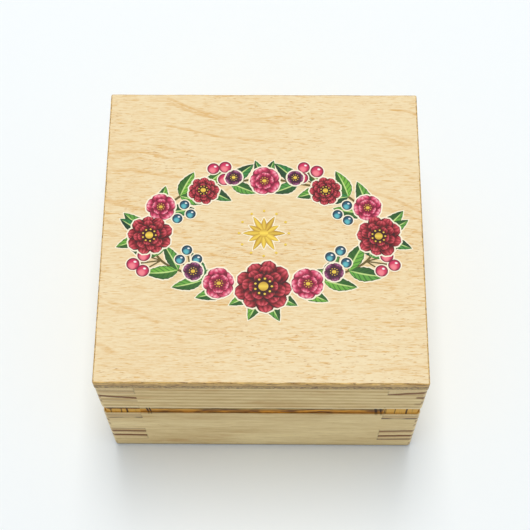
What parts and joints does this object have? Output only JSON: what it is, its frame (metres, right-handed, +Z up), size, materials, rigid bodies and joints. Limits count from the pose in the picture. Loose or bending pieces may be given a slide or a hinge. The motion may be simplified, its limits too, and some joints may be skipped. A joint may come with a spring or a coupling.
{
  "type": "rosary box",
  "caption": "Small square softwood keepsake box with a hinged lid, finger-jointed corners, a thin plywood top and a shallow groove round the parting line.",
  "frame": {"origin": "middle of the box's underside, on the surface that it stands on", "axes": "+Z up, -Y towards the front of the box, +Y towards the hinges, +X to the right seen from the front"},
  "size_m": [0.085, 0.0882, 0.0533],
  "materials": {
    "pine": "sanded bare pine, fine straight grain, end grain on the fingers",
    "plywood": "sanded bare birch plywood, pale fine grain with short dark flecks",
    "print_ink": "thin printed decoration on the lid, satin",
    "hinge_brass": "stamped and plated, lightly tarnished",
    "pin_brass": "drawn wire, worn bright at the ends",
    "nail_brass": "round heads, polished"
  },
  "bodies": {
    "base": {"base_front_wall": "pine", "base_back_wall": "pine", "base_left_wall": "pine", "base_right_wall": "pine", "bottom_panel": "plywood", "left_hinge_base_leaf": "hinge_brass", "left_hinge_base_nails": "nail_brass", "left_hinge_pin": "pin_brass", "right_hinge_base_leaf": "hinge_brass", "right_hinge_base_nails": "nail_brass", "right_hinge_pin": "pin_brass"},
    "lid": {"lid_top_panel": "plywood", "lid_front_rail": "pine", "lid_back_rail": "pine", "lid_left_rail": "pine", "lid_right_rail": "pine", "left_hinge_lid_leaf": "hinge_brass", "left_hinge_lid_nails": "nail_brass", "right_hinge_lid_leaf": "hinge_brass", "right_hinge_lid_nails": "nail_brass"}
  },
  "joints": [
    {"name": "lid_hinge", "type": "hinge", "parent": "base", "child": "lid", "pos_m": [0, 0.0441, 0.0313], "axis": [-1, 0, 0], "range_deg": [0, 180]}
  ]
}
